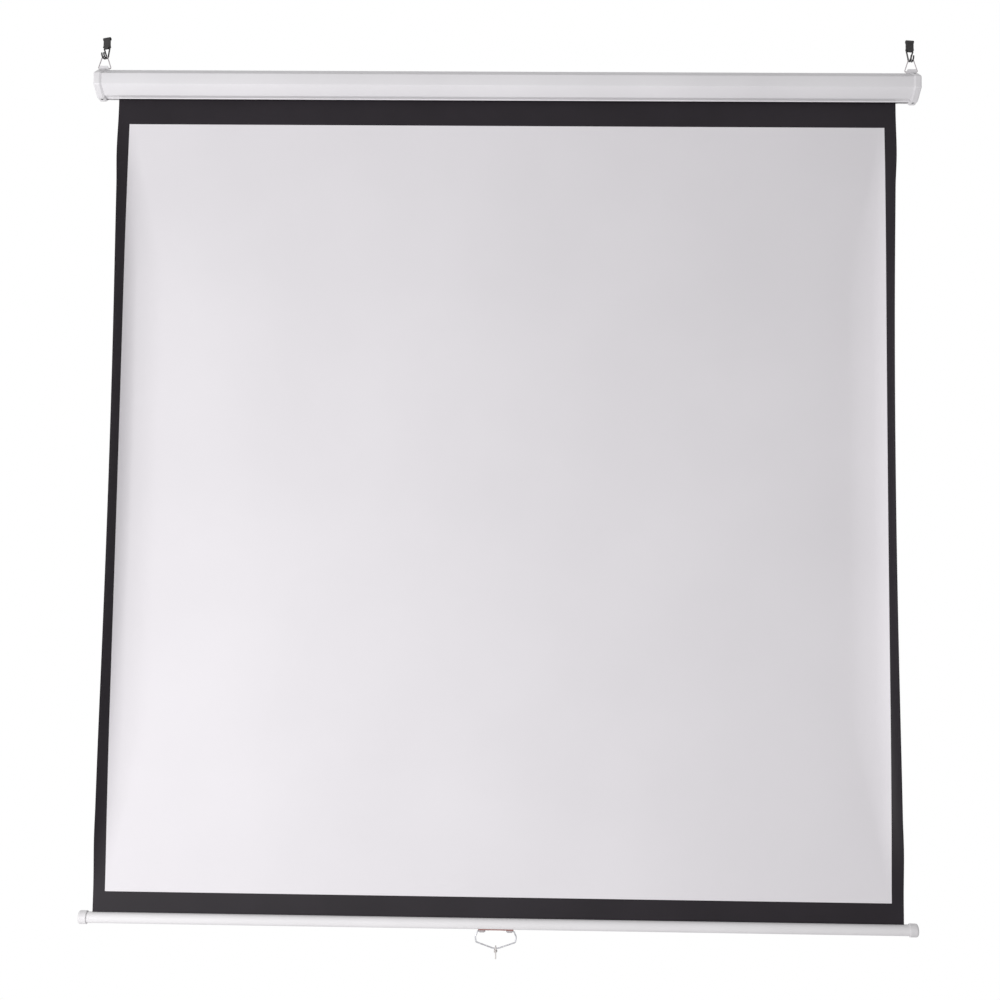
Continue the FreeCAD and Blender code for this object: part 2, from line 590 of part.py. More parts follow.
# Rings, hooks and straps that the housing hangs by
def make_hanger(side, sign):
    centre = Vector(sign * val(LUG_X), val(MID_Y), 0)
    pin_z = val(PIN_Z)
    top_z = val(RING_TOP_Z)
    base = val("dims.lug_length / 2 + dims.ring_wire / 2 + dims.ring_gap")
    half_top = val("dims.ring_top / 2")
    grip = val("dims.ring_grip")
    half = [(grip, pin_z), (base, pin_z), (half_top, top_z)]
    outline = half + [(-x, z) for x, z in reversed(half)]
    points = [centre + Vector(x, 0, z) for x, z in outline]
    bends = [val("dims.ring_foot_bend"), val("dims.ring_bend")]
    bent_rod(f"{side}_ring", points, bends + bends[::-1], val("dims.ring_wire"))

    yaw = math.radians(val(f"dims.{side}_hook_yaw"))
    opening = Vector(-math.sin(yaw), -math.cos(yaw), 0)
    across = Vector(math.cos(yaw), -math.sin(yaw), 0)
    radius = val("dims.hook_radius")
    pair = val("dims.hook_pair / 2")
    low = top_z - val(f"dims.ring_wire / 2 + dims.{side}_hook_rest + dims.hook_wire / 2")
    cross_z = low + val("dims.hook_height")
    cross = val("dims.hook_cross / 2")
    back = -val("dims.hook_offset")
    tip = low + radius + val("dims.hook_tip")
    neck = low + radius + val("dims.hook_shank")
    prong = [(radius, -pair, tip), (radius, -pair, low), (-radius, -pair, low), (-radius, -pair, neck)]
    half = prong + [(back, -cross, cross_z)]
    outline = half + [(u, -n, v) for u, n, v in reversed(half)]
    points = [centre + opening * u + across * n + Vector(0, 0, v) for u, n, v in outline]
    neck_bend = val("dims.hook_neck")
    corner = val("dims.hook_corner")
    bends = [radius, radius, neck_bend, corner]
    bent_rod(f"{side}_hook", points, bends + bends[::-1], val("dims.hook_wire"))

    # Folded webbing: full width in front of and behind the cross wire, a narrower fold under it, a sewn
    # middle and a hanging loop at the top
    layer = val("dims.strap_thickness")
    width = val("dims.strap_width")
    foot_bore = val("dims.hook_wire / 2 + dims.strap_fit")
    loop_bore = val("dims.strap_loop / 2")
    height = val("dims.strap_height")
    shoulder = val("dims.strap_shoulder")
    foot_width = val("dims.strap_foot")
    hem = -val("dims.strap_hem")
    spread = foot_bore + layer
    apron = [(-spread, hem), (spread, hem), (spread, 0), (layer, shoulder), (-layer, shoulder), (-spread, 0)]
    opened = [(-foot_bore, hem), (foot_bore, hem), (foot_bore, 0), (0, shoulder), (-foot_bore, 0)]
    fold = Part.makeCylinder(spread, foot_width, Vector(-foot_width / 2, 0, 0), ALONG_X)
    bore = Part.makeCylinder(foot_bore, foot_width, Vector(-foot_width / 2, 0, 0), ALONG_X)
    under = Part.makeBox(foot_width, 2 * spread, spread, Vector(-foot_width / 2, -spread, -spread))
    solid = Part.makeBox(width, 2 * layer, height - shoulder, Vector(-width / 2, -layer, shoulder))
    solid = solid.fuse(prism(apron, width).cut(prism(opened, width)))
    solid = solid.fuse(fold.common(under).cut(bore))
    start = Vector(-width / 2, 0, height)
    solid = solid.fuse(Part.makeCylinder(loop_bore + layer, width, start, ALONG_X))
    solid = solid.cut(Part.makeCylinder(loop_bore, width, start, ALONG_X))
    place = centre + opening * back + Vector(0, 0, cross_z)
    turn = FreeCAD.Rotation(Vector(0, 0, 1), -math.degrees(yaw))
    solid_group(f"{side}_strap", [placed(solid.removeSplitter(), place, turn)])


# Spring roller
def make_roller():
    at_roller = (ROLLER_Y, ROLLER_Z)
    journal = "(dims.journal / 2)"
    running = f"({journal} + dims.running_gap)"
    seated = f"({journal} + dims.seat_gap)"
    plug_radius = f"({TUBE_BORE} - dims.seat_gap)"
    rim = "(dims.roller_diameter / 2)"
    insert = f"({ROLLER_END} - dims.plug_insert)"
    half_fabric = f"({FABRIC_WIDTH} / 2)"
    turned("roller_tube", ring_section(f"-{ROLLER_END}", ROLLER_END, TUBE_BORE, rim), *at_roller)
    inner = f"({rim} + dims.seat_gap)"
    turned("wound_fabric", ring_section(f"-{half_fabric}", half_fabric, inner, WOUND_RADIUS), *at_roller)

    # Idle end: plug, pin and flanged bush
    plug = [(insert, seated), (PLUG_FACE, seated), (PLUG_FACE, rim), (ROLLER_END, rim),
            (ROLLER_END, plug_radius), (insert, plug_radius)]
    turned("idle_plug", [(f"-{x}", r) for x, r in plug], *at_roller)
    pin_start = f"(dims.seat_gap - {CASE_END})"
    pin_end = f"({pin_start} + dims.journal_length)"
    pin = [(pin_start, "0"), (pin_end, "0"), (pin_end, journal), (pin_start, journal)]
    turned("idle_pin", pin, *at_roller)
    sleeve = f"({running} + dims.bush_wall)"
    flange_end = f"(-{BRACKET_FACE} + dims.bush_flange)"
    flange = f"({sleeve} + dims.bush_wall)"
    bush = [(f"-{CASE_END}", running), (flange_end, running), (flange_end, flange),
            (f"-{BRACKET_FACE}", flange), (f"-{BRACKET_FACE}", sleeve), (f"-{CASE_END}", sleeve)]
    turned("idle_bush", bush, *at_roller)

    # Spring end: plug that turns on the spindle, spring anchor and collar
    ratchet_plug = turned("ratchet_plug", [(x, running if r == seated else r) for x, r in plug], *at_roller)
    peg = new_sketch(ratchet_plug, "pawl_stop")
    peg.setExpression("AttachmentOffset.Base.z", PLUG_FACE)
    peg_drop = "(dims.pawl_drop + dims.pawl_height / 2 + dims.pawl_pin / 2 + dims.wound_gap)"
    add_circle(peg, "0", f"-{peg_drop}", "(dims.pawl_pin / 2)")
    extrude(ratchet_plug, peg, "(dims.side_gap + dims.ratchet_width)")
    hub_end = f"({SPRING_START} - dims.collar_length)"
    collar_back = f"({SPRING_START} + dims.collar_flange)"
    stop = "(dims.spring_radius + dims.spring_wire)"
    collar = [(hub_end, seated), (collar_back, seated), (collar_back, stop),
              (SPRING_START, stop), (SPRING_START, HUB_RADIUS), (hub_end, HUB_RADIUS)]
    turned("spring_collar", collar, *at_roller)
    anchor_hub = f"({ANCHOR_FACE} + dims.collar_length)"
    anchor = [(ANCHOR_BACK, running), (anchor_hub, running), (anchor_hub, HUB_RADIUS),
              (ANCHOR_FACE, HUB_RADIUS), (ANCHOR_FACE, plug_radius), (ANCHOR_BACK, plug_radius)]
    turned("spring_anchor", anchor, *at_roller)

    spindle = new_body("spindle", y=ROLLER_Y, z=ROLLER_Z)
    rod = new_sketch(spindle, "spindle_rod")
    tang_start = f"({BRACKET_FACE} - dims.side_gap)"
    rod.setExpression("AttachmentOffset.Base.z", tang_start)
    add_circle(rod, "0", "0", journal)
    extrude(spindle, rod, f"({tang_start} - {ANCHOR_BACK} + dims.spindle_tail)", reverse=True)
    tang = new_sketch(spindle, "spindle_tang")
    tang.setExpression("AttachmentOffset.Base.z", tang_start)
    half_thick = "dims.tang_thickness / 2"
    half_width = "dims.tang_width / 2"
    add_box(tang, f"-{half_thick}", half_thick, f"-{half_width}", half_width)
    extrude(spindle, tang, "(dims.side_gap + dims.bracket_thickness - dims.seat_gap)")

    radius = val("dims.spring_radius")
    wire = val("dims.spring_wire / 2")
    helix = Part.makeHelix(val("dims.spring_pitch"), val("dims.spring_turns * dims.spring_pitch"), radius)
    section = Part.Wire(Part.Circle(Vector(radius, 0, 0), Vector(0, 1, 0), wire).toShape())
    coils = Part.Wire(helix).makePipeShell([section], True, True)
    first = val(f"{SPRING_START} - dims.spring_seat_gap - dims.spring_wire / 2")
    turn = FreeCAD.Rotation(Vector(0, 1, 0), -90)
    solid_group("drive_spring", [placed(coils, Vector(first, val(ROLLER_Y), val(ROLLER_Z)), turn)])


def make_lock():
    # Notched wheel on the spindle and a pawl that hangs clear below it
    wheel = new_body("lock_wheel", y=ROLLER_Y, z=ROLLER_Z)
    disc = new_sketch(wheel, "lock_disc")
    disc.setExpression("AttachmentOffset.Base.z", LOCK_FACE)
    add_circle(disc, "0", "0", "dims.ratchet_radius")
    add_circle(disc, "0", "0", "(dims.journal / 2 + dims.seat_gap)")
    extrude(wheel, disc, "dims.ratchet_width")
    notch = new_sketch(wheel, "lock_notch")
    half = "dims.notch_width / 2"
    depth = "(dims.ratchet_radius - dims.notch_depth)"
    add_box(notch, f"-{half}", half, "-2 * dims.ratchet_radius", f"-{depth}")
    cut_through(wheel, notch, f"(2 * {CASE_LENGTH})")

    pawl = new_body("pawl", y=ROLLER_Y, z=ROLLER_Z)
    lever = new_sketch(pawl, "pawl_lever")
    lever.setExpression("AttachmentOffset.Base.z", LOCK_FACE)
    middle = "-dims.pawl_drop"
    low = "(-dims.pawl_drop - dims.pawl_height / 2)"
    high = "(-dims.pawl_drop + dims.pawl_height / 2)"
    tooth_half = "dims.pawl_tooth / 2"
    tip = "(-dims.ratchet_radius - dims.pawl_clear)"
    outline = [(f"-{tooth_half}", low), ("dims.pawl_reach", low), ("dims.pawl_reach", high),
               (tooth_half, high), (tooth_half, tip), (f"-{tooth_half}", tip)]
    add_polygon(lever, outline)
    extrude(pawl, lever, "dims.ratchet_width")
    hub = new_sketch(pawl, "pawl_boss")
    hub.setExpression("AttachmentOffset.Base.z", LOCK_FACE)
    add_circle(hub, "dims.pawl_reach", middle, "dims.pawl_hub")
    extrude(pawl, hub, "dims.ratchet_width")
    bore = new_sketch(pawl, "pawl_bore")
    add_circle(bore, "dims.pawl_reach", middle, "(dims.pawl_pin / 2 + dims.running_gap)")
    cut_through(pawl, bore, f"(2 * {CASE_LENGTH})")
    pin_end = f"({LOCK_FACE} + dims.ratchet_width + dims.side_gap)"
    pin = [(PLUG_FACE, "0"), (pin_end, "0"), (pin_end, "dims.pawl_pin / 2"), (PLUG_FACE, "dims.pawl_pin / 2")]
    turned("pawl_pin", pin, f"({ROLLER_Y} + dims.pawl_reach)", f"({ROLLER_Z} - dims.pawl_drop)")


# Screen fabric: flat in its black drop and at the bar, its side edges curling forward between them
CURL_STEPS = 16
CURL_FULLNESS = 0.28
CURL_LEAN = 0.85
FLAT_CURL = 0.0005


def fabric_section(z, curl):
    outer = val("dims.curl_width")
    lead = val("dims.curl_lead")
    share = val("dims.curl_share")
    middle = val(FABRIC_Y)
    skin = val("dims.fabric_thickness / 2")
    flat = val(f"{FABRIC_WIDTH} / 2") - lead - outer
    lead_radius = lead / (curl * share)
    outer_radius = outer / (curl * (1 - share))

    def edge_point(side, along, offset):
        # Place of a point by its distance along the cloth from where the curl begins
        turn = min(along, lead) / lead_radius
        across = flat + lead_radius * math.sin(turn)
        forward = lead_radius * (1 - math.cos(turn))
        if along > lead:
            last = turn + (along - lead) / outer_radius
            across += outer_radius * (math.sin(last) - math.sin(turn))
            forward += outer_radius * (math.cos(turn) - math.cos(last))
            turn = last
        across += offset * math.sin(turn)
        forward -= offset * math.cos(turn)
        return Vector(side * across, middle - forward, z)

    def curled(side, offset):
        spans = ((0, lead / 2, lead), (lead, lead + outer / 2, lead + outer))
        return [Part.Arc(*[edge_point(side, along, offset) for along in span]).toShape() for span in spans]

    def straight(first, last):
        return Part.LineSegment(first, last).toShape()

    end = lead + outer
    edges = curled(1, skin) + [straight(edge_point(1, end, skin), edge_point(1, end, -skin))]
    edges += curled(1, -skin)[::-1] + [straight(edge_point(1, 0, -skin), edge_point(-1, 0, -skin))]
    edges += curled(-1, -skin) + [straight(edge_point(-1, end, -skin), edge_point(-1, end, skin))]
    edges += curled(-1, skin)[::-1] + [straight(edge_point(-1, 0, skin), edge_point(1, 0, skin))]
    return Part.Wire(edges)


def make_fabric():
    top = val(f"{FLOOR_Z} - dims.top_border - dims.curl_start")
    bottom = val(BAR_TOP)
    full = math.radians(val("dims.curl_angle"))
    sections = [fabric_section(val(ROLLER_Z), FLAT_CURL)]
    for step in range(CURL_STEPS + 1):
        share = (1 - math.cos(math.pi * step / CURL_STEPS)) / 2
        bulge = max(math.sin(math.pi * share ** CURL_LEAN), 0) ** CURL_FULLNESS
        sections.append(fabric_section(top + (bottom - top) * share, max(full * bulge, FLAT_CURL)))
    sections.append(fabric_section(val(f"{HEM_Z} + {HEM_RADIUS} + dims.seat_gap"), FLAT_CURL))
    solid_group("screen_fabric", [Part.makeLoft(sections, True, True)])


# Weight bar and pull handle
def make_bar():
    bar = new_body("weight_bar", y=FABRIC_Y, z=BAR_Z)
    tube = new_sketch(bar, "bar_tube")
    add_circle(tube, "0", "0", "(dims.bar_diameter / 2)")
    add_circle(tube, "0", "0", "(dims.bar_diameter / 2 - dims.bar_wall)")
    extrude(bar, tube, BAR_LENGTH, side="Symmetric")
    slot = new_sketch(bar, "bar_slot_cut")
    half = "dims.bar_slot / 2"
    add_box(slot, f"-{half}", half, "(dims.bar_diameter / 4)", "dims.bar_diameter")
    cut_through(bar, slot, f"(2 * {BAR_LENGTH})")
    rivets = tilted_sketch(bar, "bar_rivet_holes", ("0", "0", "(-dims.bar_diameter / 2)"), "180 deg")
    for way in ("", "-"):
        hole = "(dims.rivet_diameter / 2 + dims.seat_gap)"
        add_circle(rivets, f"{way}(dims.rivet_pitch / 2)", "0", hole)
    cut_blind(bar, rivets, "(3 * dims.bar_wall)")

    rim = f"({BAR_FACE} - dims.bar_cap_length)"
    outer = "(dims.bar_cap_diameter / 2)"
    bore = "(dims.bar_diameter / 2 + dims.seat_gap)"
    seat = f"({BAR_LENGTH} / 2)"
    cup = [(rim, bore), (seat, bore), (seat, "0"), (BAR_FACE, "0"), (BAR_FACE, outer), (rim, outer)]
    for side, mark in (("left", "-"), ("right", "")):
        cap = turned(f"{side}_bar_cap", [(f"{mark}{x}", r) for x, r in cup], FABRIC_Y, BAR_Z)
        rounded = edge_names(cap.Shape, lambda edge: end_circle(edge, BAR_FACE))
        dress(cap, "Fillet", rounded, "dims.bar_cap_round")
        doc.recompute()

    half_fabric = f"({FABRIC_WIDTH} / 2)"
    rod = "(dims.hem_rod / 2)"
    rod_section = [(f"-{half_fabric}", "0"), (half_fabric, "0"), (half_fabric, rod), (f"-{half_fabric}", rod)]
    turned("hem_rod", rod_section, FABRIC_Y, HEM_Z)
    hem_inner = f"({rod} + dims.seat_gap)"
    turned("hem_loop", ring_section(f"-{half_fabric}", half_fabric, hem_inner, HEM_RADIUS), FABRIC_Y, HEM_Z)


def end_circle(edge, face):
    return isinstance(edge.Curve, Part.Circle) and near(abs(edge.CenterOfMass.x), face)


def make_handle():
    strip = new_body("handle_strip", y=FABRIC_Y, z=BAR_Z)
    outline = new_sketch(strip, "strip_outline")
    half = "(dims.strip_width / 2)"
    under = "(-dims.bar_diameter / 2 - dims.strip_thickness)"
    add_box(outline, f"-{half}", half, under, "(-dims.bar_diameter / 4)")
    extrude(strip, outline, "dims.strip_length", side="Symmetric")
    seat = new_sketch(strip, "strip_seat")
    add_circle(seat, "0", "0", "(dims.bar_diameter / 2 + dims.seat_gap)")
    cut_through(strip, seat, f"(2 * {BAR_LENGTH})")
    holes = tilted_sketch(strip, "strip_rivet_holes", ("0", "0", under), "180 deg")
    for way in ("", "-"):
        hole = "(dims.rivet_diameter / 2 + dims.seat_gap)"
        add_circle(holes, f"{way}(dims.rivet_pitch / 2)", "0", hole)
    cut_blind(strip, holes, "(dims.bar_diameter / 4)")

    rivet = ("rivet_head", "rivet_head_height", "rivet_diameter", "rivet_length")
    solid = screw_solid(*[val(f"dims.{name}") for name in rivet])
    down = FreeCAD.Rotation(ALONG_X, 180)
    foot = val(f"{BAR_Z} + {under} - dims.rivet_head_height")
    half_pitch = val("dims.rivet_pitch / 2")
    places = [Vector(way * half_pitch, val(FABRIC_Y), foot) for way in (1, -1)]
    solid_group("strip_rivets", [placed(solid, place, down) for place in places])

    # Each clip is seated flat under the strip and closes round the handle wire
    length = val("dims.clip_length")
    neck = val("dims.clip_neck")
    outside = val(CLIP_RADIUS)
    wire = outside - val("dims.clip_wall")
    clips = []
    for way in (1, -1):
        start = Vector(way * val("dims.clip_pitch / 2") - length / 2, val(FABRIC_Y), val(HANDLE_Z))
        block = Part.makeBox(length, neck, outside, start - Vector(0, neck / 2, 0))
        clip = block.fuse(Part.makeCylinder(outside, length, start, ALONG_X))
        clips.append(clip.cut(Part.makeCylinder(wire, length, start, ALONG_X)).removeSplitter())
    solid_group("handle_clips", clips)

    grip = val("dims.clip_pitch / 2 - dims.handle_grip")
    shoulder = val("dims.handle_shoulder")
    half = [(grip, 0), (shoulder, 0), (val("dims.handle_half"), -val("dims.handle_waist")),
            (val("dims.handle_heel"), -val("dims.heel_drop"))]
    half.append((val("dims.handle_flat / 2"), -val("dims.handle_drop")))
    outline = half + [(-x, z) for x, z in reversed(half)]
    pivot = Vector(0, val(FABRIC_Y), val(HANDLE_Z))
    points = [pivot + Vector(x, 0, z) for x, z in outline]
    wire = val("dims.handle_wire")
    bends = [wire, 2 * wire, 1.25 * wire, 2.5 * wire]
    bent_rod("pull_handle", points, bends + bends[::-1], wire)


# Short pull cord looped over the foot of the handle, with its knot and tail
def make_cord():
    foot = Vector(0, val(FABRIC_Y), val(HANDLE_FOOT))
    around = val("dims.handle_wire / 2 + dims.cord_diameter / 2 + dims.cord_gap")
    knot_z = -val("dims.knot_drop")
    tail_z = -val("dims.cord_tail")
    route = [(-around, knot_z), (-around, around), (around, around), (around, tail_z)]
    points = [foot + Vector(0, y, z) for y, z in route]
    cord = bent_rod("pull_cord", points, [around, around], val("dims.cord_diameter"))
    print(f"pull_cord bends, round the handle wire: {around:.2f} and {around:.2f} mm")
    knot = Part.makeSphere(0.5)
    scale = FreeCAD.Matrix()
    scale.scale(val("dims.knot_width"), val("dims.knot_depth"), val("dims.knot_height"))
    knot = knot.transformGeometry(scale)
    knot.translate(foot + Vector(0, 0, knot_z))
    solid_group("cord_knot", [max(knot.cut(cord.Shape).Solids, key=lambda solid: solid.Volume)])


make_case()
for side_name, side_sign in (("left", -1), ("right", 1)):
    make_end_cap(side_name, side_sign)
    make_hanger(side_name, side_sign)
make_bracket("idle_bracket", -1)
make_bracket("spring_bracket", 1)
make_screws()
make_roller()
make_lock()
make_fabric()
make_bar()
make_handle()
make_cord()
doc.recompute()

for item in doc.Objects:
    if "Invalid" in item.State or "Error" in item.State:
        raise RuntimeError(f"{item.Label} failed: {item.State}")
for label, item in nodes.items():
    if item.Shape.isNull() or not item.Shape.isValid() or not item.Shape.Solids:
        raise RuntimeError(f"{label} is not a valid solid")
os.makedirs("parts", exist_ok=True)
for label, item in nodes.items():
    item.Shape.exportStep(f"parts/{label}.step")
    print(f"{label}: {len(item.Shape.Solids)} solid, {item.Shape.Volume / 1000:.2f} cm3")
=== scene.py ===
import bmesh
import bpy
import math
from mathutils import Matrix, Vector


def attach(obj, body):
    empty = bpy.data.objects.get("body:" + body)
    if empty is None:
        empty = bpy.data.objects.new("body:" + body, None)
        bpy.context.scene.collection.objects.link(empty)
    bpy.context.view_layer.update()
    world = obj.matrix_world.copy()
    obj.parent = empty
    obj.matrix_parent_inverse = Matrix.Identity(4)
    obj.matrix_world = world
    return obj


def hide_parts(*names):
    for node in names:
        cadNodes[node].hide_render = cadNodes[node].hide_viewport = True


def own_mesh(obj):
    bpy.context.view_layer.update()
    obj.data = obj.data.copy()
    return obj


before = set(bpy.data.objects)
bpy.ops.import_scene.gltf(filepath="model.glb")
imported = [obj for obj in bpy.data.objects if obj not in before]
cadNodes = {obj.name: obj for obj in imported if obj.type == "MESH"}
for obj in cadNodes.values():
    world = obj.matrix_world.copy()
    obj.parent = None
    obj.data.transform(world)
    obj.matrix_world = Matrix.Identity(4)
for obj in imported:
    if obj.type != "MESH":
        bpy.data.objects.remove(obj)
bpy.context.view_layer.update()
mm = 0.001
fabricY = -36.65  # the hanging fabric's plane in mm, behind the case's middle
print("frame loaded with", len(cadNodes), "solids")


def linearColour(hexText):
    channels = [int(hexText[i:i + 2], 16) / 255 for i in (1, 3, 5)]
    return [c / 12.92 if c <= 0.04045 else ((c + 0.055) / 1.055) ** 2.4 for c in channels] + [1]


def addNode(tree, kind, inputs=None, **settings):
    node = tree.nodes.new(kind)
    for name, value in settings.items():
        setattr(node, name, value)
    for name, value in (inputs or {}).items():
        if isinstance(value, bpy.types.NodeSocket):
            tree.links.new(value, node.inputs[name])
        else:
            node.inputs[name].default_value = value
    return node


def addObject(name, data):
    made = bpy.data.objects.new(name, data)
    bpy.context.scene.collection.objects.link(made)
    return made


# Camera and light, in metres
cameraSet = {"place": (0.05282, -3.03236, -1.18969), "turn": (94.0556, -0.6562, 0.995), "lens": 46.8,
             "sensor": 36, "reach": 60}
cameraData = bpy.data.cameras.new("camera")
cameraData.sensor_width = cameraSet["sensor"]
cameraData.lens = cameraSet["lens"]
cameraData.clip_end = cameraSet["reach"]
camera = addObject("camera", cameraData)
camera.location = cameraSet["place"]
camera.rotation_euler = [math.radians(a) for a in cameraSet["turn"]]
bpy.context.scene.camera = camera
bpy.context.scene.view_settings.view_transform = "Standard"

lampSet = {
    "keyLamp": {"place": (-2.98, -3.05, -1.7), "aim": (0, 0, -0.8), "size": 1.4, "watts": 91},
    "lowLamp": {"place": (-0.5, -2.9, -1.95), "aim": (0, 0, 0), "size": 1.2, "watts": 15.5},
    "topLamp": {"place": (-0.6, 0.5, 2.2), "aim": (0, 0, 0), "size": 2.0, "watts": 5},
    "backLamp": {"place": (-0.8, 2.6, 0.2), "aim": (0, 0, -0.9), "size": 2.0, "watts": 22},
}
for lampName, lamp in lampSet.items():
    lampData = bpy.data.lights.new(lampName, "AREA")
    lampData.size = lamp["size"]
    lampData.energy = lamp["watts"]
    lampObject = addObject(lampName, lampData)
    lampObject.location = lamp["place"]
    aim = Vector(lamp["aim"]) - Vector(lamp["place"])
    lampObject.rotation_euler = aim.to_track_quat("-Z", "Y").to_euler()

# The backdrop looks white, also in reflections, and lights the part at a lower level
skySet = {"light": 0.43, "seen": 1.0}
world = bpy.data.worlds.new("studio")
bpy.context.scene.world = world
world.use_nodes = True
skyTree = world.node_tree
skyTree.nodes.clear()
rays = addNode(skyTree, "ShaderNodeLightPath").outputs
mirrored = addNode(skyTree, "ShaderNodeMath", {0: rays["Is Camera Ray"], 1: rays["Is Glossy Ray"]},
                   operation="MAXIMUM")
lookedAt = addNode(skyTree, "ShaderNodeMath", {0: mirrored.outputs[0], 1: rays["Is Transmission Ray"]},
                   operation="MAXIMUM")
level = addNode(skyTree, "ShaderNodeMapRange",
                {"Value": lookedAt.outputs[0], "To Min": skySet["light"], "To Max": skySet["seen"]})
sky = addNode(skyTree, "ShaderNodeBackground", {"Color": (1, 1, 1, 1), "Strength": level.outputs[0]})
addNode(skyTree, "ShaderNodeOutputWorld", {"Surface": sky.outputs[0]})

floorSet = {"height": -2.95, "size": 2.3, "centre": (0, 0.1), "colour": "#eeedee", "roughness": 0.9}
floorMesh = bmesh.new()
bmesh.ops.create_grid(floorMesh, x_segments=1, y_segments=1, size=floorSet["size"])
bmesh.ops.translate(floorMesh, verts=floorMesh.verts, vec=(*floorSet["centre"], floorSet["height"]))
floorData = bpy.data.meshes.new("floor")
floorMesh.to_mesh(floorData)
floorMesh.free()
floor = addObject("floor", floorData)
floorPaint = bpy.data.materials.new("floor paint")
floorPaint.use_nodes = True
floorSockets = floorPaint.node_tree.nodes["Principled BSDF"].inputs
floorSockets["Base Color"].default_value = linearColour(floorSet["colour"])
floorSockets["Roughness"].default_value = floorSet["roughness"]
floorData.materials.append(floorPaint)
print("camera and light ready")


# Materials, with the sizes of their patterns in mm
def startMaterial(name, shades, patch, sockets):
    # Two near shades in soft patches, so that no surface is one flat colour
    material = bpy.data.materials.new(name)
    material.use_nodes = True
    tree = material.node_tree
    shader = tree.nodes["Principled BSDF"]
    for socket, value in sockets.items():
        shader.inputs[socket].default_value = value
    place = addNode(tree, "ShaderNodeTexCoord").outputs["Object"]
    cloud = addNode(tree, "ShaderNodeTexNoise", {"Vector": place, "Scale": 1 / (patch * mm), "Detail": 3})
    ramp = addNode(tree, "ShaderNodeValToRGB", {"Fac": cloud.outputs["Fac"]})
    for stop, position, shade in zip(ramp.color_ramp.elements, (0.3, 0.7), shades):
        stop.position = position
        stop.color = linearColour(shade)
    tree.links.new(ramp.outputs["Color"], shader.inputs["Base Color"])
    return material, (tree, shader, place)


def grain(nodes, size, depth, strength):
    # Fine relief of a moulded or painted skin
    tree, shader, place = nodes
    cloud = addNode(tree, "ShaderNodeTexNoise", {"Vector": place, "Scale": 1 / (size * mm), "Detail": 2})
    bump = addNode(tree, "ShaderNodeBump",
                   {"Height": cloud.outputs["Fac"], "Strength": strength, "Distance": depth * mm})
    tree.links.new(bump.outputs["Normal"], shader.inputs["Normal"])


def weave(nodes, acrossAxis, alongAxis, spacing, depth, strength):
    # Crossing threads as relief, from two wave textures that repeat at the threads' spacing
    tree, shader, place = nodes
    wave = {"Vector": place, "Scale": math.pi / 10 / (spacing * mm)}
    first = addNode(tree, "ShaderNodeTexWave", wave, bands_direction=acrossAxis)
    second = addNode(tree, "ShaderNodeTexWave", wave, bands_direction=alongAxis)
    both = addNode(tree, "ShaderNodeMath", {0: first.outputs["Fac"], 1: second.outputs["Fac"]},
                   operation="ADD")
    bump = addNode(tree, "ShaderNodeBump",
                   {"Height": both.outputs[0], "Strength": strength, "Distance": depth * mm})
    tree.links.new(bump.outputs["Normal"], shader.inputs["Normal"])


# Baked polyester enamel on folded steel: satin, with a faint orange peel of about 4 mm
enamel, nodes = startMaterial("baked enamel on steel", ("#e5e3e6", "#ebe9ec"), 250,
                              {"Roughness": 0.55, "IOR": 1.5, "Specular IOR Level": 0.25})
grain(nodes, size=4, depth=0.1, strength=0.15)

# The same enamel on the drawn bar, a little glossier
barEnamel, nodes = startMaterial("baked enamel on tube", ("#e5e3e5", "#e9e7e9"), 180,
                                 {"Roughness": 0.42, "IOR": 1.5, "Specular IOR Level": 0.25})
grain(nodes, size=3, depth=0.08, strength=0.12)

# Moulded ABS: soft sheen and a fine spark-eroded skin, drawn at 1.2 mm so that it shows
capPlastic, nodes = startMaterial("moulded white ABS", ("#e2e0e3", "#e9e7ea"), 20,
                                  {"Roughness": 0.46, "IOR": 1.53})
grain(nodes, size=1.2, depth=0.05, strength=0.2)

# Polished ABS of the bar's caps: smoother, with a clearer shine
barCapPlastic, nodes = startMaterial("polished white ABS", ("#dfdddf", "#e5e3e5"), 15,
                                     {"Roughness": 0.36, "IOR": 1.53, "Specular IOR Level": 0.25})
grain(nodes, size=2, depth=0.03, strength=0.1)

# Matt coated screen cloth: threads are 0.5 mm apart, too fine to show, so they are drawn at 2.4 mm
screenWhite, nodes = startMaterial("matt white screen coating", ("#e3e0e4", "#e7e4e8"), 400,
                                   {"Roughness": 0.92, "IOR": 1.45})
weave(nodes, "X", "Z", spacing=2.4, depth=0.05, strength=0.12)

# Printed black border on the same cloth, with a slight glaze
screenBlack, nodes = startMaterial("black border ink", ("#1a151b", "#201b21"), 120,
                                   {"Roughness": 0.48, "IOR": 1.5, "Specular IOR Level": 0.23})
weave(nodes, "X", "Z", spacing=2.4, depth=0.05, strength=0.2)

# Light-tight black backing of the cloth: dull, with the same threads
screenBack, nodes = startMaterial("black blockout backing", ("#202022", "#282829"), 300,
                                  {"Roughness": 0.75, "IOR": 1.45})
weave(nodes, "X", "Z", spacing=2.4, depth=0.05, strength=0.2)

# Nickel plated wire of the handle: a soft shine that goes from grey to nearly white along its bends
handleWire, nodes = startMaterial("nickel plated wire", ("#a6a6ab", "#c2c2c6"), 6,
                                  {"Roughness": 0.36, "Metallic": 1.0})
grain(nodes, size=0.8, depth=0.03, strength=0.15)

# Duller, faintly pink plating of the hanging rings
ringWire, nodes = startMaterial("dull plated wire", ("#9c9699", "#b6b0b3"), 6,
                                {"Roughness": 0.42, "Metallic": 1.0})
grain(nodes, size=0.8, depth=0.03, strength=0.15)

# Zinc plated steel: grey, cloudy spangle
zincSteel, nodes = startMaterial("zinc plated steel", ("#a2a4a8", "#b9bbbe"), 4,
                                 {"Roughness": 0.36, "Metallic": 1.0})
grain(nodes, size=1.5, depth=0.03, strength=0.15)

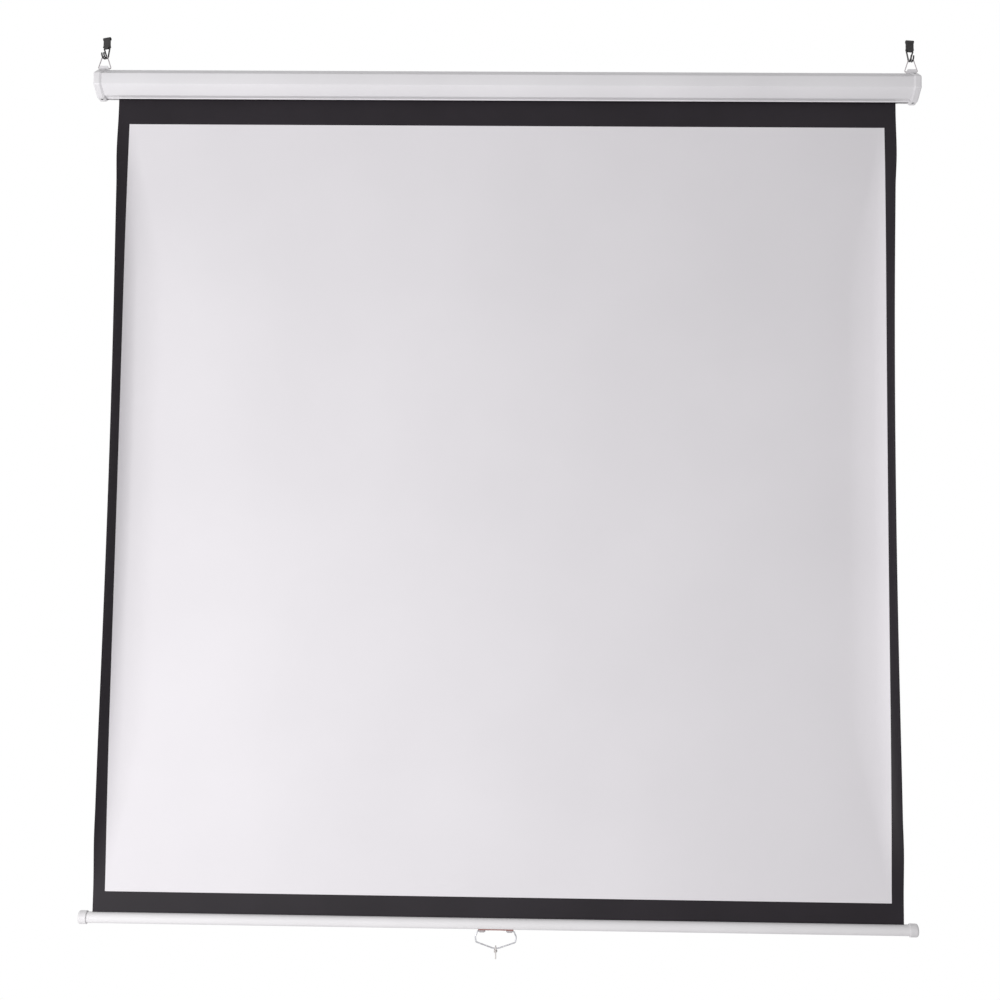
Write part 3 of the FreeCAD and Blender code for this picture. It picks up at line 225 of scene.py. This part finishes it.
# Cap screws coloured nearly black: painted shade that stands in for the shade in the caps' screw recesses,
# on metal with a dull oily shine
paintedShadeScrewSteel, nodes = startMaterial("steel painted dark as recess shade", ("#333133", "#424042"), 3,
                                  {"Roughness": 0.42, "Metallic": 1.0})
grain(nodes, size=1, depth=0.03, strength=0.15)

# Oiled spring wire: dark and smooth
springSteel, nodes = startMaterial("oiled spring steel", ("#505154", "#6a6b6e"), 10,
                                   {"Roughness": 0.3, "Metallic": 1.0})
grain(nodes, size=1, depth=0.02, strength=0.1)

# Extruded aluminium tube: pale, with a faintly uneven shine
rollerMetal, nodes = startMaterial("extruded aluminium", ("#bcbec1", "#cccdd0"), 50,
                                   {"Roughness": 0.34, "Metallic": 1.0})
grain(nodes, size=2, depth=0.03, strength=0.1)

# Natural nylon of the bush, plugs and hubs: milky and waxy
nylon, nodes = startMaterial("natural nylon", ("#d3d0c6", "#dedbd3"), 10,
                             {"Roughness": 0.5, "IOR": 1.53})
grain(nodes, size=1.5, depth=0.04, strength=0.15)

# Vinyl-dipped hook wire: deep black with a soft gloss
dippedWire, nodes = startMaterial("black vinyl dip", ("#171516", "#201e1f"), 6,
                                  {"Roughness": 0.34, "IOR": 1.52})
grain(nodes, size=1.5, depth=0.06, strength=0.2)

# Polypropylene webbing: matt black ribs, 1.6 mm apart
webbing, nodes = startMaterial("black polypropylene webbing", ("#232122", "#343233"), 3,
                               {"Roughness": 0.7, "IOR": 1.49})
weave(nodes, "X", "Z", spacing=1.6, depth=0.2, strength=0.7)

# Sewing thread of the strap, a shade lighter than the webbing
strapThread, nodes = startMaterial("black sewing thread", ("#343233", "#434142"), 1,
                                   {"Roughness": 0.6, "IOR": 1.5})
grain(nodes, size=0.3, depth=0.05, strength=0.4)

# Reddish-brown vulcanised fibre strip: dull, slightly fibrous
brownFibre, nodes = startMaterial("reddish-brown vulcanised fibre", ("#7f463e", "#9a5c52"), 4,
                                  {"Roughness": 0.6, "IOR": 1.5})
grain(nodes, size=1, depth=0.06, strength=0.3)

# Polythene clips: grey, with a soft waxy sheen
clipPlastic, nodes = startMaterial("grey polythene", ("#aaa3a6", "#c0babc"), 4,
                                   {"Roughness": 0.45, "IOR": 1.51})
grain(nodes, size=1, depth=0.04, strength=0.2)

# Braided cotton cord: soft white with slanting plaits, 1.5 mm apart
cottonCord, nodes = startMaterial("braided white cotton", ("#cfcac8", "#e4e0de"), 2,
                                  {"Roughness": 0.85, "IOR": 1.47})
weave(nodes, "DIAGONAL", "Z", spacing=1.5, depth=0.2, strength=0.6)
print("materials ready")


# Finished meshes become pieces that ride on a body of the frame
def finishPiece(shape, name, body, materials, replaced, smoothAngle=35):
    data = bpy.data.meshes.new(name)
    shape.to_mesh(data)
    shape.free()
    for material in materials:
        data.materials.append(material)
    data.shade_smooth()
    data.set_sharp_from_angle(angle=math.radians(smoothAngle))
    piece = addObject(name, data)
    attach(piece, body)
    if replaced:
        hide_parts(*replaced)
    return piece


def vertsOf(geom):
    return [item for item in geom if isinstance(item, bmesh.types.BMVert)]


def edgesOf(geom):
    return [item for item in geom if isinstance(item, bmesh.types.BMEdge)]


def thickenInward(shape, thickness):
    bmesh.ops.solidify(shape, geom=shape.faces, thickness=thickness * mm)
    shape.normal_update()


def sweepChain(shape, edges, length):
    grown = bmesh.ops.extrude_edge_only(shape, edges=edges)["geom"]
    bmesh.ops.translate(shape, verts=vertsOf(grown), vec=(length * mm, 0, 0))


def chainOf(shape, points):
    corners = [shape.verts.new(Vector(p) * mm) for p in points]
    return [shape.edges.new(pair) for pair in zip(corners, corners[1:])]


def joinInto(whole, shape, name):
    # One finished copy joins the mesh that holds all of its kind
    held = bpy.data.meshes.new(name)
    shape.to_mesh(held)
    shape.free()
    whole.from_mesh(held)


# Folded case, from one slot lip round to the other
caseSet = {"half": 961.5, "wall": 1.0, "fold": 1.1, "foldSteps": 4, "smooth": 50,
           "lip": -33, "floor": -31, "lower": -13, "upper": 13, "roof": 34,
           "front": -82.65, "back": -2.65, "roofFront": -48.65, "roofBack": -36.65,
           "floorFront": -57.65, "floorBack": -27.65, "slotFront": -41.65, "slotBack": -31.65}
caseCorners = [("slotFront", "lip"), ("slotFront", "floor"), ("floorFront", "floor"), ("front", "lower"),
               ("front", "upper"), ("roofFront", "roof"), ("roofBack", "roof"), ("back", "upper"),
               ("back", "lower"), ("floorBack", "floor"), ("slotBack", "floor"), ("slotBack", "lip")]
caseOutline = [(-caseSet["half"], caseSet[depth], caseSet[height]) for depth, height in caseCorners]
skin = bmesh.new()
sweepChain(skin, chainOf(skin, caseOutline), 2 * caseSet["half"])
folds = [e for e in skin.edges if len(e.link_faces) == 2]
bmesh.ops.bevel(skin, geom=folds, offset=caseSet["fold"] * mm, segments=caseSet["foldSteps"], profile=0.5,
                affect="EDGES", material=-1)
skin.normal_update()
if max(skin.faces, key=lambda f: f.calc_center_median().z).normal.z < 0:
    bmesh.ops.reverse_faces(skin, faces=skin.faces)
thickenInward(skin, caseSet["wall"])
finishPiece(skin, "case", "housing", [enamel], ["case_shell"], caseSet["smooth"])
print("case ready")

# Cross-headed cap screws, sunk in the caps' recesses in the roof slope and underneath
screwSet = {"head": 3.0, "height": 1.1, "shank": 1.75, "length": 6, "rimSteps": 32,
            "crossHalf": 1.7, "crossArm": 0.4, "crossDepth": 0.7, "sink": 0.1, "inset": 954.5,
            "roofSlope": 31.7, "roofSeat": (-65.65, 23.5), "roofLift": 2.65, "floorSeat": (-45.8, -36.65)}
arm = screwSet["crossArm"]
tip = screwSet["crossHalf"]
crossOutline = [(arm, tip), (arm, arm), (tip, arm), (tip, -arm), (arm, -arm), (arm, -tip),
                (-arm, -tip), (-arm, -arm), (-tip, -arm), (-tip, arm), (-arm, arm), (-arm, tip)]
roofTurn = Matrix.Rotation(math.radians(screwSet["roofSlope"]), 4, "X")
roofSeat = Vector((0, *screwSet["roofSeat"])) + roofTurn @ Vector((0, 0, screwSet["roofLift"]))
floorTurn = Matrix.Rotation(math.pi, 4, "X")
floorSeat = Vector((0, *screwSet["floorSeat"]))
screws = bmesh.new()
for side in (-1, 1):
    for seat, turn in ((roofSeat, roofTurn), (floorSeat, floorTurn)):
        screw = bmesh.new()
        bmesh.ops.create_circle(screw, radius=screwSet["head"] * mm, segments=screwSet["rimSteps"])
        rimEdges = list(screw.edges)
        corners = [screw.verts.new((x * mm, y * mm, 0)) for x, y in crossOutline]
        crossEdges = [screw.edges.new((corners[i - 1], corners[i])) for i in range(len(corners))]
        bmesh.ops.triangle_fill(screw, edges=rimEdges + crossEdges, use_beauty=True)
        middle = [f for f in screw.faces if f.calc_center_median().length < arm * mm]
        bmesh.ops.delete(screw, geom=middle, context="FACES_ONLY")
        sunk = bmesh.ops.extrude_edge_only(screw, edges=crossEdges)["geom"]
        bmesh.ops.translate(screw, verts=vertsOf(sunk), vec=(0, 0, -screwSet["crossDepth"] * mm))
        bmesh.ops.contextual_create(screw, geom=edgesOf(sunk))
        skirt = bmesh.ops.extrude_edge_only(screw, edges=rimEdges)["geom"]
        bmesh.ops.translate(screw, verts=vertsOf(skirt), vec=(0, 0, -screwSet["height"] * mm))
        under = bmesh.ops.contextual_create(screw, geom=edgesOf(skirt))["faces"]
        bmesh.ops.inset_region(screw, faces=under, thickness=(screwSet["head"] - screwSet["shank"]) * mm)
        stem = bmesh.ops.extrude_discrete_faces(screw, faces=under)["faces"]
        bmesh.ops.translate(screw, verts=stem[0].verts, vec=(0, 0, -screwSet["length"] * mm))
        bmesh.ops.recalc_face_normals(screw, faces=screw.faces)
        spot = Vector((side * screwSet["inset"], seat.y, seat.z)) + turn @ Vector((0, 0, -screwSet["sink"]))
        bmesh.ops.transform(screw, matrix=Matrix.Translation(spot * mm) @ turn, verts=screw.verts)
        joinInto(screws, screw, "screw")
# The screws' near-black colour is painted shade for the recesses they sit in
finishPiece(screws, "capScrews", "housing", [paintedShadeScrewSteel], ["cap_screws"])
print("screws ready")

# Hanging cloth: flat in its black drop and at the bar, with side edges that curl forward between them
clothSet = {"halfWidth": 917, "sideBorder": 27, "thickness": 0.4, "top": 2, "floor": -31, "whiteTop": -93,
            "whiteBottom": -1878, "hemTop": -1884, "barTop": -1924, "bottom": -1925.25,
            "curlTop": -45, "edge": 60, "tipEdge": 40, "lead": 60, "leastLead": 0.01, "share": 0.25,
            "leftTurn": 73, "rightTurn": 79, "leastTurn": 0.0005, "fullness": 0.36, "lean": 0.85,
            "ease": 200, "spread": 460, "backFacing": 0.3, "drop": 1882, "tuck": 0.5, "tuckTilt": 0.7}
halfWidth = clothSet["halfWidth"]
whiteHalf = halfWidth - clothSet["sideBorder"]
tightStart = halfWidth - clothSet["edge"]
leadStart = tightStart - clothSet["lead"]

# Stops across and down the cloth, each with the number of grid cells up to the next one
acrossStops = [(-halfWidth, 6), (-whiteHalf, 10), (-tightStart, 12), (-leadStart, 40),
               (leadStart, 12), (tightStart, 10), (whiteHalf, 6), (halfWidth, 0)]
hangStops = [(clothSet["top"], 4), (clothSet["floor"], 8), (clothSet["whiteTop"], 130),
             (clothSet["whiteBottom"], 2), (clothSet["hemTop"], 0)]
hemStops = [(clothSet["hemTop"], 8), (clothSet["barTop"], 1), (clothSet["bottom"], 0)]


def stopValue(stops, share):
    # Place along a row of stops
    step = share * sum(count for _, count in stops)
    for (first, count), (last, _) in zip(stops, stops[1:]):
        if step <= count + 1e-6:
            return first + (last - first) * step / count
        step -= count
    return stops[-1][0]


def ease(share):
    share = min(max(share, 0), 1)
    return share * share * (3 - 2 * share)


def hangPoint(across, down):
    # A gentle arc leads into a tighter one along the edge, and both narrow towards the ends
    below = clothSet["curlTop"] - down
    above = down - clothSet["hemTop"]
    spread = ease(below / clothSet["spread"]) * ease(above / clothSet["spread"])
    lead = clothSet["lead"] * max(spread, clothSet["leastLead"])
    edge = clothSet["tipEdge"] + (clothSet["edge"] - clothSet["tipEdge"]) * spread
    start = halfWidth - lead - edge
    past = abs(across) - start
    if past <= 0:
        return Vector((across, fabricY, down)) * mm
    height = min(max(below / (below + above), 0), 1)
    bulge = max(math.sin(math.pi * height ** clothSet["lean"]), 0) ** clothSet["fullness"]
    bulge = bulge * ease(below / clothSet["ease"]) * ease(above / clothSet["ease"])
    full = clothSet["leftTurn"] if across < 0 else clothSet["rightTurn"]
    turn = max(math.radians(full) * bulge, clothSet["leastTurn"])
    leadRadius = lead / (turn * clothSet["share"])
    edgeRadius = edge / (turn * (1 - clothSet["share"]))
    first = min(past, lead) / leadRadius
    last = first + max(past - lead, 0) / edgeRadius
    reach = start + leadRadius * math.sin(first) + edgeRadius * (math.sin(last) - math.sin(first))
    forward = leadRadius * (1 - math.cos(first)) + edgeRadius * (math.cos(first) - math.cos(last))
    return Vector((math.copysign(reach, across), fabricY - forward, down)) * mm


def hangCloth(downStops):
    cloth = bmesh.new()
    cellsAcross = sum(count for _, count in acrossStops)
    cellsDown = sum(count for _, count in downStops)
    bmesh.ops.create_grid(cloth, x_segments=cellsAcross, y_segments=cellsDown, size=0.5)
    flatPlace = {v: (stopValue(acrossStops, v.co.x + 0.5), stopValue(downStops, 0.5 - v.co.y))
                 for v in cloth.verts}
    for face in cloth.faces:
        acrossMiddle = sum(flatPlace[v][0] for v in face.verts) / 4
        downMiddle = sum(flatPlace[v][1] for v in face.verts) / 4
        inRows = clothSet["whiteBottom"] < downMiddle < clothSet["whiteTop"]
        face.material_index = 0 if inRows and abs(acrossMiddle) < whiteHalf else 1
    for v, (across, down) in flatPlace.items():
        v.co = hangPoint(across, down)
    cloth.normal_update()
    if sum(f.normal.y for f in cloth.faces) > 0:
        bmesh.ops.reverse_faces(cloth, faces=cloth.faces)
    thickenInward(cloth, clothSet["thickness"])
    # The back gets its backing, up to the outermost strip, which curls most and is black as well
    for face in cloth.faces:
        if face.normal.y > clothSet["backFacing"]:
            face.material_index = 2
    return cloth


# The lowest strip rides on the bar, and the rest hangs from the case
clothFaces = [screenWhite, screenBlack, screenBack]
screenCloth = finishPiece(hangCloth(hangStops), "screenCloth", "housing", clothFaces, ["screen_fabric"])
screenHem = finishPiece(hangCloth(hemStops), "screenHem", "bar", clothFaces, [])
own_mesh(screenCloth)
print("cloth ready")

# Weight bar: a tube with a slot along its top for the hem
barSet = {"half": 942.5, "radius": 12.5, "wall": 1.2, "slot": 1.5, "centre": -1936.5, "segments": 96}
tube = bmesh.new()
bmesh.ops.create_circle(tube, radius=barSet["radius"] * mm, segments=barSet["segments"])
bmesh.ops.rotate(tube, verts=tube.verts, cent=(0, 0, 0), matrix=Matrix.Rotation(math.pi / 2, 3, "Y"))
slotVerts = [v for v in tube.verts if v.co.z > 0 and abs(v.co.y) < barSet["slot"] * mm]
bmesh.ops.delete(tube, geom=slotVerts, context="VERTS")
bmesh.ops.translate(tube, verts=tube.verts, vec=(-barSet["half"] * mm, fabricY * mm, barSet["centre"] * mm))
sweepChain(tube, list(tube.edges), 2 * barSet["half"])
tube.normal_update()
if min(tube.faces, key=lambda f: f.calc_center_median().z).normal.z > 0:
    bmesh.ops.reverse_faces(tube, faces=tube.faces)
thickenInward(tube, barSet["wall"])
finishPiece(tube, "weightBar", "bar", [barEnamel], ["weight_bar"])
print("bar ready")

# Webbing straps: one folded band, drawn in at the fold under the hook's cross wire and open as a loop above
strapSet = {"width": 19, "foot": 10.6, "footBelow": -0.1, "layer": 1.6, "layerGap": 0.1, "shoulder": 6,
            "height": 20.9, "headRadius": 4.1, "headSteps": 24, "footRadius": 3.55, "footSteps": 20,
            "rimAngle": 70, "rimRound": 0.35, "rimSteps": 2, "smooth": 60,
            "left": {"place": (-949.948, -37.012, 92.5), "yaw": 20},
            "right": {"place": (951.165, -36.708, 93.0), "yaw": -8}}
stitchSet = {"rows": (7.5, 15), "count": 7, "first": -6.9, "pitch": 2.3, "radius": 0.5,
             "shape": (1.9, 0.5, 0.6), "lift": 0.02, "smooth": 80}
layer = strapSet["layer"]
for side in ("left", "right"):
    band = bmesh.new()
    edgeX = -strapSet["width"] / 2
    headAngle = math.asin(layer / strapSet["headRadius"])
    headZ = strapSet["height"] - strapSet["headRadius"] * math.cos(headAngle)
    start = band.verts.new(Vector((edgeX, layer, headZ)) * mm)
    loop = bmesh.ops.spin(band, geom=[start], cent=(0, 0, strapSet["height"] * mm), axis=(1, 0, 0),
                          angle=2 * math.pi - 2 * headAngle, steps=strapSet["headSteps"], dvec=(0, 0, 0))
    last = vertsOf(loop["geom_last"])[0]
    for y, z in ((-layer, strapSet["shoulder"]), (-strapSet["footRadius"], 0)):
        nextVert = band.verts.new(Vector((edgeX, y, z)) * mm)
        band.edges.new((last, nextVert))
        last = nextVert
    loop = bmesh.ops.spin(band, geom=[last], cent=(0, 0, 0), axis=(1, 0, 0), angle=math.pi,
                          steps=strapSet["footSteps"], dvec=(0, 0, 0))
    last = vertsOf(loop["geom_last"])[0]
    shoulder = band.verts.new(Vector((edgeX, layer, strapSet["shoulder"])) * mm)
    band.edges.new((last, shoulder))
    band.edges.new((shoulder, start))
    sweepChain(band, list(band.edges), strapSet["width"])
    for v in band.verts:
        if v.co.z < strapSet["footBelow"] * mm:
            v.co.x *= strapSet["foot"] / strapSet["width"]
    bmesh.ops.recalc_face_normals(band, faces=band.faces)
    band.normal_update()
    if max(band.faces, key=lambda f: f.calc_center_median().z).normal.z < 0:
        bmesh.ops.reverse_faces(band, faces=band.faces)
    thickenInward(band, layer - strapSet["layerGap"])
    rimAngle = math.radians(strapSet["rimAngle"])
    rims = [e for e in band.edges if len(e.link_faces) == 2 and e.calc_face_angle() > rimAngle]
    bmesh.ops.bevel(band, geom=rims, offset=strapSet["rimRound"] * mm, segments=strapSet["rimSteps"],
                    profile=0.5, affect="EDGES", material=-1)
    hung = strapSet[side]
    yawTurn = Matrix.Rotation(math.radians(-hung["yaw"]), 4, "Z")
    placeStrap = Matrix.Translation(Vector(hung["place"]) * mm) @ yawTurn
    bmesh.ops.transform(band, matrix=placeStrap, verts=band.verts)
    finishPiece(band, side + "Strap", side + "_hook", [webbing], [side + "_strap"],
                strapSet["smooth"])
    # Rows of stitches, front and back, hold the fold
    stitches = bmesh.new()
    for row in stitchSet["rows"]:
        for step in range(stitchSet["count"]):
            for face in (-1, 1):
                ball = bmesh.ops.create_icosphere(stitches, subdivisions=2, radius=stitchSet["radius"] * mm)
                made = ball["verts"]
                bmesh.ops.scale(stitches, vec=stitchSet["shape"], verts=made)
                along = stitchSet["first"] + stitchSet["pitch"] * step
                spot = Vector((along, face * (layer + stitchSet["lift"]), row)) * mm
                bmesh.ops.translate(stitches, verts=made, vec=spot)
    bmesh.ops.transform(stitches, matrix=placeStrap, verts=stitches.verts)
    finishPiece(stitches, side + "StrapStitches", side + "_hook", [strapThread], [],
                stitchSet["smooth"])
print("straps ready")

# Pull cord, looped over the foot of the handle
cordSet = {"diameter": 3, "foot": -1990.5, "length": 44, "roundSteps": 5, "curveSteps": 10,
           "route": [(-3.4, -6.2), (-4.3, -2.5), (-4.3, 4.3), (4.3, 4.3), (4.3, -2.5), (3.5, -8),
                     (3.2, -16.5), (3.4, -25)]}
footPlace = Vector((0, fabricY, cordSet["foot"]))
cordRadius = cordSet["diameter"] / 2 * mm
cordCurve = bpy.data.curves.new("pullCord", "CURVE")
cordCurve.dimensions = "3D"
cordCurve.bevel_depth = cordRadius
cordCurve.bevel_resolution = cordSet["roundSteps"]
cordCurve.resolution_u = cordSet["curveSteps"]
cordCurve.use_fill_caps = True
line = cordCurve.splines.new("NURBS")
line.points.add(len(cordSet["route"]) - 1)
for point, (y, z) in zip(line.points, cordSet["route"]):
    point.co = (*((footPlace + Vector((0, y, z))) * mm), 1)
line.order_u = 3
line.use_endpoint_u = True
cordCurve.materials.append(cottonCord)
pullCord = addObject("pullCord", cordCurve)
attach(pullCord, "cord")
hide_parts("pull_cord")

# Knot of the cord: two turns that slant against each other, each with its height and slant
knotSet = {"wraps": [(-5.0, 14), (-7.7, -16)], "radius": 3.4, "width": 0.85, "depth": 1.5,
           "cordSteps": 16, "turnSteps": 32, "seam": 0.001, "smooth": 60}
wraps = bmesh.new()
for z, slant in knotSet["wraps"]:
    wrap = bmesh.new()
    bmesh.ops.create_circle(wrap, radius=cordRadius, segments=knotSet["cordSteps"])
    bmesh.ops.rotate(wrap, verts=wrap.verts, cent=(0, 0, 0), matrix=Matrix.Rotation(math.pi / 2, 3, "X"))
    bmesh.ops.translate(wrap, verts=wrap.verts, vec=(knotSet["radius"] * mm, 0, 0))
    bmesh.ops.spin(wrap, geom=list(wrap.verts) + list(wrap.edges), cent=(0, 0, 0), axis=(0, 0, 1),
                   angle=2 * math.pi, steps=knotSet["turnSteps"], dvec=(0, 0, 0), use_merge=True)
    bmesh.ops.remove_doubles(wrap, verts=wrap.verts, dist=knotSet["seam"] * mm)
    bmesh.ops.recalc_face_normals(wrap, faces=wrap.faces)
    slantTurn = Matrix.Rotation(math.radians(slant), 4, "Y")
    lay = Matrix.Translation((footPlace + Vector((0, 0, z))) * mm) @ slantTurn
    flatten = Matrix.Diagonal((knotSet["width"], knotSet["depth"], 1, 1))
    bmesh.ops.transform(wrap, matrix=lay @ flatten, verts=wrap.verts)
    joinInto(wraps, wrap, "wrap")
knot = finishPiece(wraps, "cordKnot", "cord", [cottonCord], ["cord_knot"], knotSet["smooth"])
print("cord ready")

# Solids that are carried over, with their finish
carried = {
    capPlastic: ["left_end_cap", "right_end_cap"],
    handleWire: ["pull_handle"],
    ringWire: ["left_ring", "right_ring"],
    dippedWire: ["left_hook", "right_hook"],
    barCapPlastic: ["left_bar_cap", "right_bar_cap"],
    brownFibre: ["handle_strip"],
    clipPlastic: ["handle_clips"],
    zincSteel: ["strip_rivets", "idle_bracket", "spring_bracket", "bracket_screws", "idle_pin", "pawl_pin",
                "spindle", "lock_wheel", "pawl", "hem_rod"],
    springSteel: ["drive_spring"],
    nylon: ["idle_bush", "idle_plug", "ratchet_plug", "spring_collar", "spring_anchor"],
    rollerMetal: ["roller_tube"],
    screenBlack: ["wound_fabric", "hem_loop"],
}
for material, names in carried.items():
    for name in names:
        cadNodes[name].data.materials.clear()
        cadNodes[name].data.materials.append(material)
print("finishes ready")
